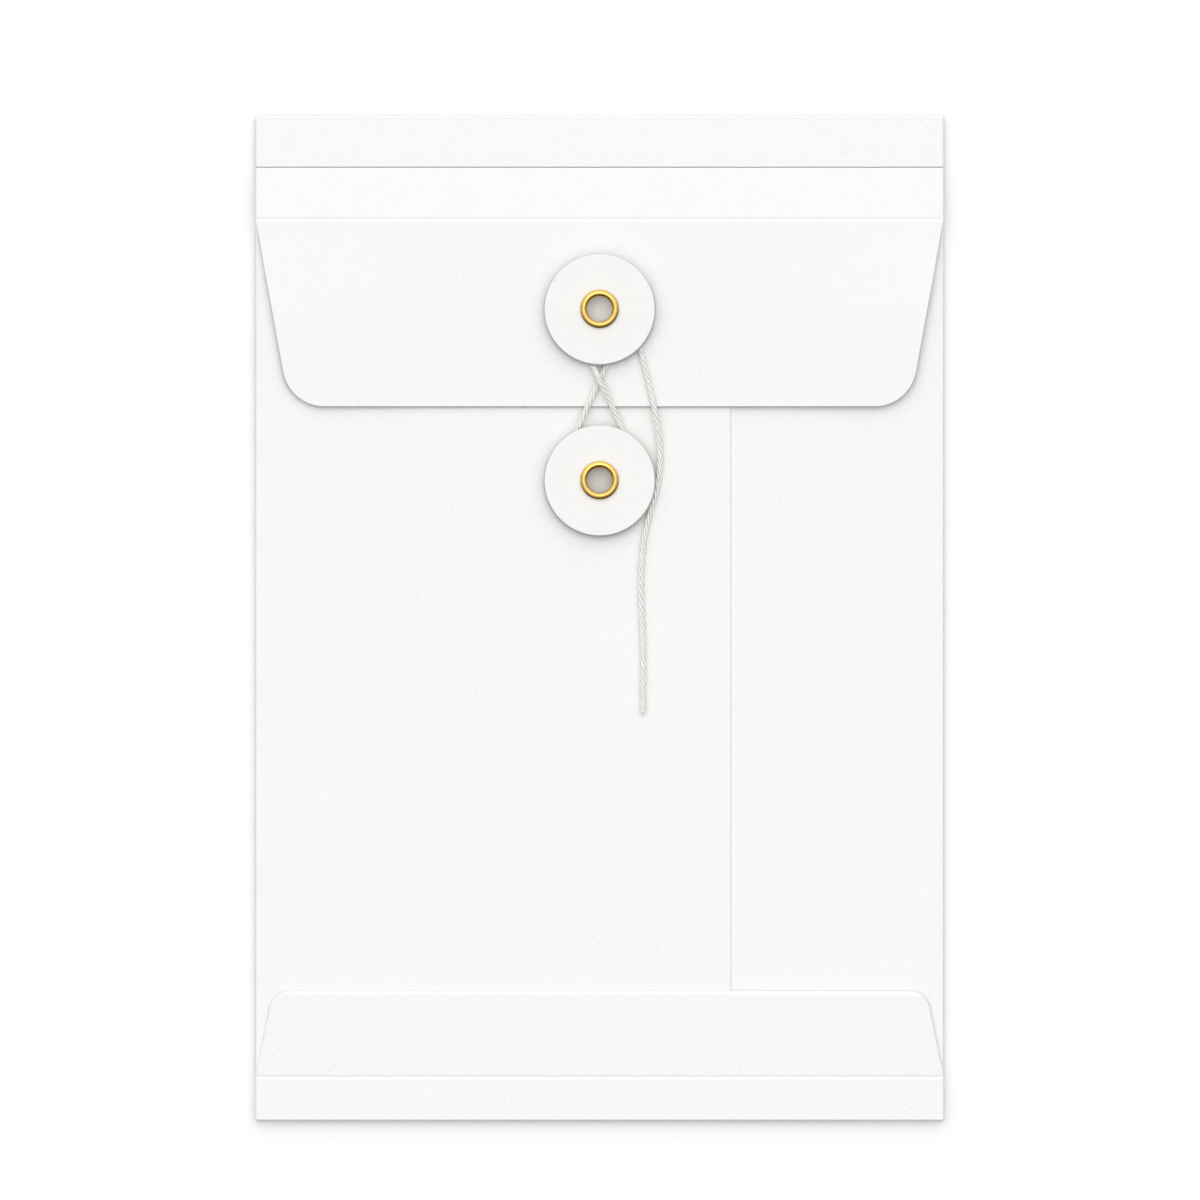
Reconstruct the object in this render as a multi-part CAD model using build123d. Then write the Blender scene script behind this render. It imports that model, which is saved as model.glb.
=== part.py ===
from build123d import *
import math
import os

# String tie envelope, lying on its back, closed and tied. Millimetres.
# Origin: middle of the outline, on the surface that the envelope lies on.
# +X to the right, +Y towards the closing flap's fold, +Z up off the front.

# Driving dimensions of the outline
WIDTH = 165.1
HEIGHT = 241.3
PAPER = 0.3

# Driving dimensions along the height, from the edge or crease before
TOP_STRIP = 12.4
SHOULDER_STRIP = 12.5
CLOSING_FLAP = 44.9
BASE_STRIP = 10.6
BOTTOM_FLAP = 20.5
MOUTH_FROM_TOP = 23.6

# Outlines of the two flaps
CLOSING_FLAP_TAPER = 8.2
CLOSING_FLAP_CORNER = 10.0
BOTTOM_FLAP_TAPER = 4.4
BOTTOM_FLAP_CORNER = 4.8

# The seam down the front, and the two glue lines
SEAM_X = 31.6
SEAM_OVERLAP = 14.0
GLUE = 0.05
GLUE_INSET = 2.0

# Room between the layers
POCKET_GAP = 0.8
FLAP_GAP = 0.65
TOP_FOLD_DIAMETER = 1.0
CREASE_GAP = 0.05

# Buttons and eyelets
BUTTON_DIAMETER = 26.4
BUTTON_THICKNESS = 1.0
BUTTON_EDGE_ROUND = 0.2
BUTTON_RAISE = 1.85
UPPER_BUTTON_Y = 74.15
LOWER_BUTTON_Y = 33.1
EYELET_BORE = 6.5
EYELET_BARREL = 6.8
EYELET_RIM = 9.2
EYELET_RIM_HEIGHT = 1.0
EYELET_RIM_ROUND = 0.6
EYELET_CLINCH = 8.6
EYELET_CLINCH_HEIGHT = 0.45
EYELET_CLINCH_ROUND = 0.35
BUTTON_RUNNING_GAP = 0.05
EYELET_HOLE_GAP = 0.05
HOLE_CUTTER_LENGTH = 20.0

# String
STRING_DIAMETER = 1.3
STRING_LIFT = 0.05
STRING_CROSSING_GAP = 0.55

# How the string's route is rounded and measured
ARC_SHARE_OF_RUN = 0.45
GAP_SAMPLE_STEP = 0.4
NEIGHBOUR_DIAMETERS = 4

# Levels worked out from the stack of layers
half_width = WIDTH / 2
top_edge = HEIGHT / 2
back_top = PAPER
right_front_bottom = back_top + POCKET_GAP
right_front_top = right_front_bottom + PAPER
left_front_bottom = right_front_top + GLUE
left_front_top = left_front_bottom + PAPER
bottom_flap_bottom = left_front_top + GLUE
bottom_flap_top = bottom_flap_bottom + PAPER
closing_flap_bottom = left_front_top + FLAP_GAP
closing_flap_top = closing_flap_bottom + PAPER
top_strip_bottom = TOP_FOLD_DIAMETER - PAPER

# Places worked out along the height
top_fold_radius = TOP_FOLD_DIAMETER / 2
top_fold_y = top_edge - top_fold_radius
valley_y = top_edge - TOP_STRIP
score_y = valley_y - SHOULDER_STRIP
closing_flap_edge_y = score_y - CLOSING_FLAP
mouth_y = top_edge - MOUTH_FROM_TOP
bottom_fold_radius = bottom_flap_top / 2
bottom_fold_y = -top_edge + bottom_fold_radius
bottom_score_y = -top_edge + BASE_STRIP
bottom_flap_edge_y = bottom_score_y + BOTTOM_FLAP
left_fold_radius = left_front_top / 2
right_fold_radius = right_front_top / 2

string_radius = STRING_DIAMETER / 2
barrel_radius = EYELET_BARREL / 2


def sheet(corners, bottom, thickness=PAPER):
    """A flat panel with the given outline, lying at a height."""
    face = make_face(Polyline(*corners, close=True))
    return extrude(Pos(0, 0, bottom) * face, thickness)


def rectangle(x0, x1, y0, y1, bottom, thickness=PAPER):
    """A flat rectangular panel."""
    return sheet([(x0, y0), (x1, y0), (x1, y1), (x0, y1)], bottom, thickness)


def tapered_flap(root_y, edge_y, taper, corner_radius, bottom):
    """A flap that narrows from the full width at its crease to an edge with two rounded corners."""
    root = [(-half_width, root_y), (half_width, root_y)]
    edge = [(half_width - taper, edge_y), (-half_width + taper, edge_y)]
    panel = sheet(root + edge, bottom)
    corners = panel.edges().filter_by(Axis.Z).group_by(Axis.Y)
    corners = corners[0] if edge_y < root_y else corners[-1]
    return fillet(corners, corner_radius)


def round_bar(radius, y, z, length):
    """A round bar across the envelope."""
    return Pos(0, y, z) * Rot(0, 90, 0) * Cylinder(radius, length)


def half_tube(radius, length):
    """Paper bent half round, about the Z axis, on its +X side."""
    ring = Cylinder(radius, length) - Cylinder(radius - PAPER, length)
    return ring & Pos(radius, 0, 0) * Box(2 * radius, 4 * radius, length)


def bored(panel, y):
    """The panel with the hole that an eyelet's barrel goes through."""
    return panel - Pos(0, y, 0) * Cylinder(barrel_radius + EYELET_HOLE_GAP, HOLE_CUTTER_LENGTH)


def back_panel():
    """The sheet that everything is folded from. It is full width above the mouth only."""
    left = -half_width + left_fold_radius
    right = half_width - right_fold_radius
    clear_of_roll = top_fold_y - top_fold_radius - CREASE_GAP
    return sheet(
        [
            (left, bottom_fold_y),
            (right, bottom_fold_y),
            (right, mouth_y),
            (half_width, mouth_y),
            (half_width, clear_of_roll),
            (-half_width, clear_of_roll),
            (-half_width, mouth_y),
            (left, mouth_y),
        ],
        0,
    )


def side_fold(side, radius):
    """The long edge where the back turns up into the front. side is 1 on the right, -1 on the left."""
    length = mouth_y - bottom_fold_y
    bend = Rot(90, 0, 0) * half_tube(radius, length)
    if side < 0:
        bend = Rot(0, 0, 180) * bend
    middle_y = (mouth_y + bottom_fold_y) / 2
    return Pos(side * (half_width - radius), middle_y, radius) * bend


def left_front_panel():
    """The front panel that lies on top at the seam and carries the lower button."""
    left = -half_width + left_fold_radius
    panel = rectangle(left, SEAM_X, bottom_fold_y, mouth_y, left_front_bottom)
    return bored(panel, LOWER_BUTTON_Y)


def right_front_panel():
    """The front panel that reaches under the other at the seam."""
    right = half_width - right_fold_radius
    return rectangle(SEAM_X - SEAM_OVERLAP, right, bottom_fold_y, mouth_y, right_front_bottom)


def seam_glue():
    """The glue line where the front panels overlap."""
    left = SEAM_X - SEAM_OVERLAP + GLUE_INSET
    return rectangle(
        left,
        SEAM_X - GLUE_INSET,
        bottom_fold_y + GLUE_INSET,
        mouth_y - GLUE_INSET,
        right_front_top,
        GLUE,
    )


def bottom_fold():
    """The bottom edge, where the back turns up and over the front panels."""
    bend = Rot(0, 90, 0) * Rot(0, 0, -90) * half_tube(bottom_fold_radius, WIDTH)
    return Pos(0, bottom_fold_y, bottom_fold_radius) * bend


def base_strip():
    """The strip between the bottom edge and the bottom score."""
    return rectangle(-half_width, half_width, bottom_fold_y, bottom_score_y, bottom_flap_bottom)


def bottom_flap():
    """The flap glued over the front panels."""
    return tapered_flap(
        bottom_score_y, bottom_flap_edge_y, BOTTOM_FLAP_TAPER, BOTTOM_FLAP_CORNER, bottom_flap_bottom
    )


def bottom_flap_glue():
    """The glue under the bottom flap, on the panel that lies on top."""
    left = -half_width + BOTTOM_FLAP_TAPER + GLUE_INSET
    return rectangle(
        left,
        SEAM_X - GLUE_INSET,
        bottom_score_y + GLUE_INSET,
        bottom_flap_edge_y - GLUE_INSET,
        left_front_top,
        GLUE,
    )


def top_strip():
    """The strip folded over from the top edge, with the fold rolled round its hinge line."""
    strip = rectangle(-half_width, half_width, valley_y, top_fold_y, top_strip_bottom)
    roll = round_bar(top_fold_radius, top_fold_y, top_fold_radius, WIDTH)
    hollow = round_bar(top_fold_radius - PAPER, top_fold_y, top_fold_radius, WIDTH)
    return strip + (roll - hollow)


def shoulder_strip():
    """The strip that rises from the valley crease, over the mouth, to the closing flap."""
    corners = [
        (valley_y, top_strip_bottom),
        (valley_y, top_strip_bottom + PAPER),
        (score_y, closing_flap_top),
        (score_y, closing_flap_bottom),
    ]
    section = make_face(Polyline(*corners, close=True))
    return extrude(Plane.YZ * section, half_width, both=True)


def closing_flap():
    """The flap that is tied down over the mouth and carries the upper button."""
    panel = tapered_flap(
        score_y, closing_flap_edge_y, CLOSING_FLAP_TAPER, CLOSING_FLAP_CORNER, closing_flap_bottom
    )
    return bored(panel, UPPER_BUTTON_Y)


def button(y, paper_top):
    """A stiff card disc, held off the paper by the string and free to turn on its eyelet."""
    disc = Cylinder(BUTTON_DIAMETER / 2, BUTTON_THICKNESS)
    disc = fillet(disc.edges(), BUTTON_EDGE_ROUND)
    disc = disc - Cylinder(barrel_radius + BUTTON_RUNNING_GAP, BUTTON_THICKNESS)
    return Pos(0, y, paper_top + BUTTON_RAISE + BUTTON_THICKNESS / 2) * disc


def collar(diameter, bottom, top):
    """A ring round the eyelet's bore."""
    ring = Cylinder(diameter / 2, top - bottom) - Cylinder(EYELET_BORE / 2, top - bottom)
    return Pos(0, 0, (bottom + top) / 2) * ring


def eyelet(y, paper_top):
    """A brass eyelet: a rolled rim over the disc, a barrel, and a clinch turned out under the paper."""
    paper_bottom = paper_top - PAPER
    rim_bottom = paper_top + BUTTON_RAISE + BUTTON_THICKNESS + BUTTON_RUNNING_GAP
    rim_top = rim_bottom + EYELET_RIM_HEIGHT
    clinch_bottom = paper_bottom - EYELET_CLINCH_HEIGHT
    rim = collar(EYELET_RIM, rim_bottom, rim_top)
    rim = fillet(rim.edges().group_by(Axis.Z)[-1], EYELET_RIM_ROUND)
    clinch = collar(EYELET_CLINCH, clinch_bottom, paper_bottom)
    clinch = fillet(clinch.edges().group_by(Axis.Z)[0].sort_by(SortBy.RADIUS)[-1], EYELET_CLINCH_ROUND)
    barrel = collar(EYELET_BARREL, clinch_bottom, rim_bottom)
    return Pos(0, y, 0) * (rim + barrel + clinch)


# Heights of the string's middle: on the flap, on the front, and where it passes over itself
on_flap = closing_flap_top + string_radius + STRING_LIFT
on_front = left_front_top + string_radius + STRING_LIFT
over_itself = on_flap + STRING_DIAMETER + STRING_CROSSING_GAP

# The turn that fixes the string round the upper eyelet's barrel, under the button
ANCHOR_RADIUS = 4.25
ANCHOR_START = -90
ANCHOR_STEP = -60
ANCHOR_POINTS = 5

# The rest of the route, chosen by hand, in the order that the string runs
FIGURE_EIGHT = [
    (5.15, 68.60, on_flap),
    (1.85, 61.20, on_flap),
    (-2.50, 51.70, on_flap + 0.18),
    (-5.50, 45.00, on_front + 0.28),
    (-7.30, 40.50, on_front + 0.10),
    (-7.30, 31.50, on_front),
    (-3.70, 25.90, on_front),
    (3.70, 25.90, on_front),
    (7.30, 31.50, on_front),
    (7.20, 40.30, on_front + 0.10),
    (5.45, 45.40, on_front + 0.28),
    (2.75, 51.60, on_flap + 0.18),
    (1.40, 54.20, on_flap + 1.00),
    (0.15, 56.70, over_itself),
    (-0.64, 58.45, over_itself),
    (-1.85, 61.00, on_flap + 0.12),
    (-3.70, 66.30, on_flap + 0.10),
    (-7.80, 75.35, on_flap + 0.08),
    (-2.60, 81.60, on_flap + 0.08),
    (5.70, 80.20, on_flap + 0.08),
]
TAIL = [
    (9.20, 66.60, on_flap),
    (11.60, 57.30, on_flap + 0.04),
    (13.40, 49.40, on_flap + 0.12),
    (14.45, 42.20, on_front + 0.40),
    (14.45, 35.20, on_front + 0.08),
    (13.50, 29.80, on_front),
    (11.90, 24.90, on_front),
    (10.55, 19.00, on_front),
    (9.90, 12.00, on_front),
    (9.90, 5.00, on_front),
    (10.30, -3.00, on_front),
    (10.50, -11.00, on_front),
    (10.40, -17.00, on_front),
    (10.45, -22.60, on_front),
]


def anchor_turn():
    """Corners of the turn round the upper eyelet's barrel."""
    reach = ANCHOR_RADIUS / math.cos(math.radians(ANCHOR_STEP / 2))
    corners = []
    for k in range(ANCHOR_POINTS):
        angle = math.radians(ANCHOR_START + k * ANCHOR_STEP)
        x = reach * math.cos(angle)
        y = UPPER_BUTTON_Y + reach * math.sin(angle)
        corners.append((x, y, on_flap))
    return corners


def string_path():
    """Straight runs joined by arcs that are each as large as the two runs allow."""
    points = [Vector(*p) for p in anchor_turn() + FIGURE_EIGHT + TAIL]
    radii = []
    for before, here, after in zip(points, points[1:], points[2:]):
        shorter = min((here - before).length, (after - here).length)
        turn = (here - before).get_angle(after - here)
        radii.append(ARC_SHARE_OF_RUN * shorter / math.tan(math.radians(turn / 2)))
    print("string radii", [round(r, 1) for r in radii], "least", round(min(radii), 2))
    return FilletPolyline(*points, radius=radii)


def self_gap(path):
    """The least room between two stretches of the string that aren't neighbours."""
    count = math.ceil(path.length / GAP_SAMPLE_STEP)
    points = [path.position_at(k / count) for k in range(count + 1)]
    apart = math.ceil(NEIGHBOUR_DIAMETERS * STRING_DIAMETER / GAP_SAMPLE_STEP)
    least = min(
        (points[i] - points[j]).length
        for i in range(len(points))
        for j in range(i + apart, len(points))
    )
    return least - STRING_DIAMETER


def tie_string():
    """The string: a turn round the upper barrel, the figure eight and the loose tail, in one tube."""
    path = string_path()
    section = Plane(origin=path.position_at(0), z_dir=path.tangent_at(0)) * Circle(string_radius)
    tube = sweep(section, path=path)
    expected = math.pi * string_radius**2 * path.length
    print("string length", round(path.length, 1), "volume share", round(tube.volume / expected, 4))
    print("string gap to itself", round(self_gap(path), 2))
    return tube


parts = {
    "back_panel": back_panel(),
    "left_side_fold": side_fold(-1, left_fold_radius),
    "right_side_fold": side_fold(1, right_fold_radius),
    "left_front_panel": left_front_panel(),
    "right_front_panel": right_front_panel(),
    "seam_glue": seam_glue(),
    "bottom_fold": bottom_fold(),
    "base_strip": base_strip(),
    "bottom_flap": bottom_flap(),
    "bottom_flap_glue": bottom_flap_glue(),
    "top_strip": top_strip(),
    "shoulder_strip": shoulder_strip(),
    "closing_flap": closing_flap(),
    "upper_button": button(UPPER_BUTTON_Y, closing_flap_top),
    "lower_button": button(LOWER_BUTTON_Y, left_front_top),
    "upper_eyelet": eyelet(UPPER_BUTTON_Y, closing_flap_top),
    "lower_eyelet": eyelet(LOWER_BUTTON_Y, left_front_top),
    "tie_string": tie_string(),
}

os.makedirs("parts", exist_ok=True)
for name, shape in parts.items():
    export_step(shape, f"parts/{name}.step")

print("hinge line of the top fold, y and z:", round(top_fold_y, 4), round(top_fold_radius, 4))
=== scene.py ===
import bmesh
import bpy
import math
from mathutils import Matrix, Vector


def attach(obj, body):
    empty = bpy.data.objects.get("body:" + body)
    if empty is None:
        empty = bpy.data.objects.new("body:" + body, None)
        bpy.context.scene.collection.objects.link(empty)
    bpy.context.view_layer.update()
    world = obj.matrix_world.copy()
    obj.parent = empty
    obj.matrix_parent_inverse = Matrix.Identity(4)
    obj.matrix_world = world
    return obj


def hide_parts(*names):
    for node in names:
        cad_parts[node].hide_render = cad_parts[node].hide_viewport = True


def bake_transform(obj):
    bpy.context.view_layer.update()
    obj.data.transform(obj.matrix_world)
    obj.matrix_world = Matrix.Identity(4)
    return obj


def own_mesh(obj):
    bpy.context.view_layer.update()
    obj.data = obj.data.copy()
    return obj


# String tie envelope, lying on its back, closed and tied.
# Sizes are in millimetres here and become metres when a mesh is made.
# +X to the right, +Y towards the closing flap's fold, +Z up off the front.

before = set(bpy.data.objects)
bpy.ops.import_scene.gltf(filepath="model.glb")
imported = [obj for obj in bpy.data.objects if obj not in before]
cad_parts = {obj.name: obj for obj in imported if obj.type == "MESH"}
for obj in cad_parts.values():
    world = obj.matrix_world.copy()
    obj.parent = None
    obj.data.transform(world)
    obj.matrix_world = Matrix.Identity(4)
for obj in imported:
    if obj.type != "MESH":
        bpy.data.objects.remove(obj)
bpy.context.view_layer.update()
MM = 0.001

# Outline and paper
WIDTH = 165.1
HEIGHT = 241.3
PAPER = 0.3

# Panels along the height, each from the edge or crease before
TOP_STRIP = 12.4
SHOULDER_STRIP = 12.5
CLOSING_FLAP = 44.9
BASE_STRIP = 10.6
BOTTOM_FLAP = 20.5
MOUTH_FROM_TOP = 23.6

# Outlines of the two flaps
CLOSING_FLAP_TAPER = 8.2
CLOSING_FLAP_CORNER = 10.0
BOTTOM_FLAP_TAPER = 4.4
BOTTOM_FLAP_CORNER = 4.8

# The seam down the front
SEAM_X = 31.6
SEAM_OVERLAP = 14.0

# Room between the layers
GLUE = 0.05
POCKET_GAP = 0.8
FLAP_GAP = 0.65
TOP_FOLD_DIAMETER = 1.0

# Buttons and eyelets
BUTTON_RADIUS = 13.2
BUTTON_THICKNESS = 1.0
BUTTON_RAISE = 1.85
UPPER_BUTTON_Y = 74.15
LOWER_BUTTON_Y = 33.1
BORE_RADIUS = 3.25
BARREL_RADIUS = 3.4
HOLE_RADIUS = 3.45
RIM_RADIUS = 4.6

# String
STRING_DIAMETER = 1.3
STRING_LIFT = 0.05
STRING_CROSSING_GAP = 0.55

# Places worked out along the height
half_width = WIDTH / 2
top_edge = HEIGHT / 2
valley_y = top_edge - TOP_STRIP
score_y = valley_y - SHOULDER_STRIP
flap_edge_y = score_y - CLOSING_FLAP
mouth_y = top_edge - MOUTH_FROM_TOP
bottom_score_y = -top_edge + BASE_STRIP
bottom_flap_edge_y = bottom_score_y + BOTTOM_FLAP

# Heights of the middle of each layer, worked out from the stack
half_paper = PAPER / 2
back_z = half_paper
right_front_z = back_z + PAPER + POCKET_GAP
left_front_z = right_front_z + PAPER + GLUE
bottom_flap_z = left_front_z + PAPER + GLUE
flap_z = left_front_z + PAPER + FLAP_GAP
strip_z = TOP_FOLD_DIAMETER - half_paper

# The faces that the buttons and the string lie over
front_top = left_front_z + half_paper
flap_top = flap_z + half_paper

# The flap turns about the middle of the rolled fold at the top edge
fold_y = top_edge - TOP_FOLD_DIAMETER / 2
fold_z = TOP_FOLD_DIAMETER / 2


# Helpers for meshes

# Edges sharper than these angles, in degrees, are shaded as creases
PAPER_SHARP = 35
ROUND_SHARP = 60


def shade(mesh, sharp_angle):
    """Smooth shading, apart from edges that turn by more than an angle in degrees."""
    mesh.shade_smooth()
    mesh.set_sharp_from_angle(angle=math.radians(sharp_angle))


def add_piece(name, vertices, faces, material, sharp_angle):
    """A mesh object from points in millimetres, with its faces turned outwards."""
    mesh = bpy.data.meshes.new(name)
    mesh.from_pydata([Vector(v) * MM for v in vertices], [], faces)
    shell = bmesh.new()
    shell.from_mesh(mesh)
    bmesh.ops.recalc_face_normals(shell, faces=shell.faces)
    shell.to_mesh(mesh)
    shell.free()
    mesh.materials.append(material)
    shade(mesh, sharp_angle)
    piece = bpy.data.objects.new(name, mesh)
    bpy.context.scene.collection.objects.link(piece)
    return piece


def arc(centre_a, centre_z, radius_a, radius_z, start, end, steps):
    """Points of an elliptical arc in an upright plane, angles in degrees."""
    points = []
    for k in range(steps + 1):
        angle = math.radians(start + (end - start) * k / steps)
        points.append((centre_a + radius_a * math.cos(angle), centre_z + radius_z * math.sin(angle)))
    return points


def lathe(name, profile, centre_y, steps, material, sharp_angle):
    """A ring turned about the vertical through (0, centre_y) from a closed profile of (radius, height)."""
    count = len(profile)
    vertices = []
    for k in range(steps):
        angle = 2 * math.pi * k / steps
        for radius, z in profile:
            vertices.append((radius * math.cos(angle), centre_y + radius * math.sin(angle), z))
    faces = []
    for k in range(steps):
        here = k * count
        there = (k + 1) % steps * count
        for i in range(count):
            j = (i + 1) % count
            faces.append((here + i, there + i, there + j, here + j))
    return add_piece(name, vertices, faces, material, sharp_angle)


def settle(piece, body, node):
    """Puts a piece on the body it moves with, in the place of the named solid."""
    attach(piece, body)
    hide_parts(node)


# Helpers for materials

# Numbers of the mix node's colour sockets
MIX_FIRST = 6
MIX_SECOND = 7
MIX_RESULT = 2

WHITE = (1, 1, 1)

# Most of a noise texture's values lie between these
NOISE_LOW = 0.3
NOISE_HIGH = 0.7


def grey(value):
    """A colour with no hue."""
    return value, value, value


def new_material(name, roughness):
    """A procedural material to fill in. Returns it with its node tree and surface shader."""
    material = bpy.data.materials.new(name)
    material.use_nodes = True
    tree = material.node_tree
    shader = tree.nodes["Principled BSDF"]
    shader.inputs["Roughness"].default_value = roughness
    return material, tree, shader


def object_place(tree):
    """Where a point is on its own object, in metres."""
    return tree.nodes.new("ShaderNodeTexCoord").outputs["Object"]


def stretched(tree, place, scale):
    """The same place with each axis scaled."""
    node = tree.nodes.new("ShaderNodeMapping")
    node.inputs["Scale"].default_value = scale
    tree.links.new(place, node.inputs["Vector"])
    return node.outputs["Vector"]


def noise(tree, place, scale, detail, roughness=0.5):
    """A noise texture read at a place. scale is the number of patches in one unit of place."""
    texture = tree.nodes.new("ShaderNodeTexNoise")
    texture.inputs["Scale"].default_value = scale
    texture.inputs["Detail"].default_value = detail
    texture.inputs["Roughness"].default_value = roughness
    tree.links.new(place, texture.inputs["Vector"])
    return texture.outputs["Fac"]


def ramp(tree, value, *stops):
    """Turns a value into a colour. stops are (position, colour)."""
    node = tree.nodes.new("ShaderNodeValToRGB")
    while len(node.color_ramp.elements) < len(stops):
        node.color_ramp.elements.new(0.5)
    for element, (position, colour) in zip(node.color_ramp.elements, stops):
        element.position = position
        element.color = (*colour, 1)
    tree.links.new(value, node.inputs["Fac"])
    return node.outputs["Color"]


def multiply(tree, first, second):
    """One colour darkened by another."""
    node = tree.nodes.new("ShaderNodeMix")
    node.data_type = "RGBA"
    node.blend_type = "MULTIPLY"
    node.inputs["Factor"].default_value = 1.0
    tree.links.new(first, node.inputs[MIX_FIRST])
    tree.links.new(second, node.inputs[MIX_SECOND])
    return node.outputs[MIX_RESULT]


def bump(tree, shader, height, depth):
    """Fine relief of the surface, with its depth in millimetres."""
    node = tree.nodes.new("ShaderNodeBump")
    node.inputs["Strength"].default_value = 1.0
    node.inputs["Distance"].default_value = depth * MM
    tree.links.new(height, node.inputs["Height"])
    tree.links.new(node.outputs["Normal"], shader.inputs["Normal"])


# Materials: paper and card

PAPER_WHITE = (0.781, 0.774, 0.761)
CARD_WHITE = (0.769, 0.762, 0.749)
# The darker grey of cut edges is painted shade, standing in for the shadow along the edges
CUT_PAINTED_SHADE = (0.5, 0.495, 0.487)
PAPER_SPECK = 0.90
CARD_SPECK = 0.88
CUT_SPECK = 0.92
PAPER_ROUGHNESS = 0.88
PAPER_GLOSS = 0.2

# How much the clouds lighten and darken the sheet, and the darkest shade of both grains
CLOUD_LIGHT = 1.004
CLOUD_DARK = 0.995
FINE_SHADE = 0.97
COARSE_SHADE = 0.975

# Patches per metre
CLOUDS = 130
COARSE_GRAIN = 1100
FINE_GRAIN = 3600
FIBRES = 2100
TOOTH = 1800

# Fibres lie along the sheet, and show as specks where their noise is below these values
FIBRE_STRETCH = (1.0, 0.45, 1.0)
SPECK_FULL = 0.22
SPECK_END = 0.30

# The relief that a finger feels
TOOTH_DEPTH = 0.05
TOOTH_ROUGHNESS = 0.6


def paper_material(name, colour, speck_shade):
    """White uncoated card paper: faint clouds, two sizes of grain and a few short fibres."""
    material, tree, shader = new_material(name, PAPER_ROUGHNESS)
    shader.inputs["Specular IOR Level"].default_value = PAPER_GLOSS
    place = object_place(tree)
    lighter = tuple(c * CLOUD_LIGHT for c in colour)
    darker = tuple(c * CLOUD_DARK for c in colour)
    clouds = noise(tree, place, CLOUDS, 4)
    clouds = ramp(tree, clouds, (NOISE_LOW, darker), (NOISE_HIGH, lighter))
    fine = noise(tree, place, FINE_GRAIN, 2)
    fine = ramp(tree, fine, (NOISE_LOW, grey(FINE_SHADE)), (NOISE_HIGH, WHITE))
    coarse = noise(tree, place, COARSE_GRAIN, 2)
    coarse = ramp(tree, coarse, (NOISE_LOW, grey(COARSE_SHADE)), (NOISE_HIGH, WHITE))
    fibres = noise(tree, stretched(tree, place, FIBRE_STRETCH), FIBRES, 1)
    specks = ramp(tree, fibres, (SPECK_FULL, grey(speck_shade)), (SPECK_END, WHITE))
    blend = multiply(tree, clouds, fine)
    blend = multiply(tree, blend, coarse)
    blend = multiply(tree, blend, specks)
    tree.links.new(blend, shader.inputs["Base Color"])
    bump(tree, shader, noise(tree, place, TOOTH, 4, TOOTH_ROUGHNESS), TOOTH_DEPTH)
    return material


# Materials: metal

BRASS_DARK = (0.77, 0.505, 0.138)
BRASS_LIGHT = (0.88, 0.585, 0.17)
BRASS_BRIGHT = 0.08
BRASS_DULL = 0.14
BRASS_DULL_AT = 0.75
BRASS_PATCHES = 900
BRASS_MARKS = 2500
MARK_STRETCH = (1.0, 1.0, 6.0)
MARK_DEPTH = 0.004

# The barrel's darker grey is painted shade inside the bore
BARREL_SHADE_DARK = (0.54, 0.53, 0.51)
BARREL_SHADE_LIGHT = (0.64, 0.625, 0.6)
BARREL_ROUGHNESS = 0.3
BARREL_STREAKS = 1800
STREAK_STRETCH = (1.0, 1.0, 0.2)
STREAK_DEPTH = 0.006


def brass_material():
    """Bright stamped brass with fine turning marks and slightly duller patches."""
    material, tree, shader = new_material("brass", BRASS_DULL)
    shader.inputs["Metallic"].default_value = 1.0
    place = object_place(tree)
    patches = noise(tree, place, BRASS_PATCHES, 3)
    colour = ramp(tree, patches, (NOISE_LOW, BRASS_DARK), (NOISE_HIGH, BRASS_LIGHT))
    tree.links.new(colour, shader.inputs["Base Color"])
    dull = ramp(tree, patches, (NOISE_LOW, grey(BRASS_BRIGHT)), (BRASS_DULL_AT, grey(BRASS_DULL)))
    tree.links.new(dull, shader.inputs["Roughness"])
    marks = noise(tree, stretched(tree, place, MARK_STRETCH), BRASS_MARKS, 2)
    bump(tree, shader, marks, MARK_DEPTH)
    return material


def shaded_barrel_material():
    """The eyelet's barrel: rough metal with faint streaks, in a darker grey than the brass, which is painted
    shade inside the bore.
    """
    material, tree, shader = new_material("barrel", BARREL_ROUGHNESS)
    shader.inputs["Metallic"].default_value = 1.0
    place = object_place(tree)
    streaks = noise(tree, stretched(tree, place, STREAK_STRETCH), BARREL_STREAKS, 3)
    colour = ramp(tree, streaks, (NOISE_LOW, BARREL_SHADE_DARK), (NOISE_HIGH, BARREL_SHADE_LIGHT))
    tree.links.new(colour, shader.inputs["Base Color"])
    bump(tree, shader, streaks, STREAK_DEPTH)
    return material


# Materials: string and glue

STRING_ROUGHNESS = 0.9
STRING_GLOSS = 0.15
STRING_SHEEN = 0.15
COTTON_DARK = (0.69, 0.683, 0.662)
COTTON_LIGHT = (0.86, 0.853, 0.835)
COTTON_LIGHT_AT = 0.65
COTTON_STRETCH = (0.9, 9.0, 1.0)
COTTON_DEPTH = 0.05
# The string is darker where its strands meet: painted shade in the grooves
GROOVE_PAINTED_SHADE = 0.5
GROOVE_FULL = 0.45
GROOVE_END = 0.85

GLUE_DARK = (0.80, 0.78, 0.70)
GLUE_LIGHT = (0.88, 0.86, 0.79)
GLUE_ROUGHNESS = 0.45
GLUE_PATCHES = 500


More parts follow.
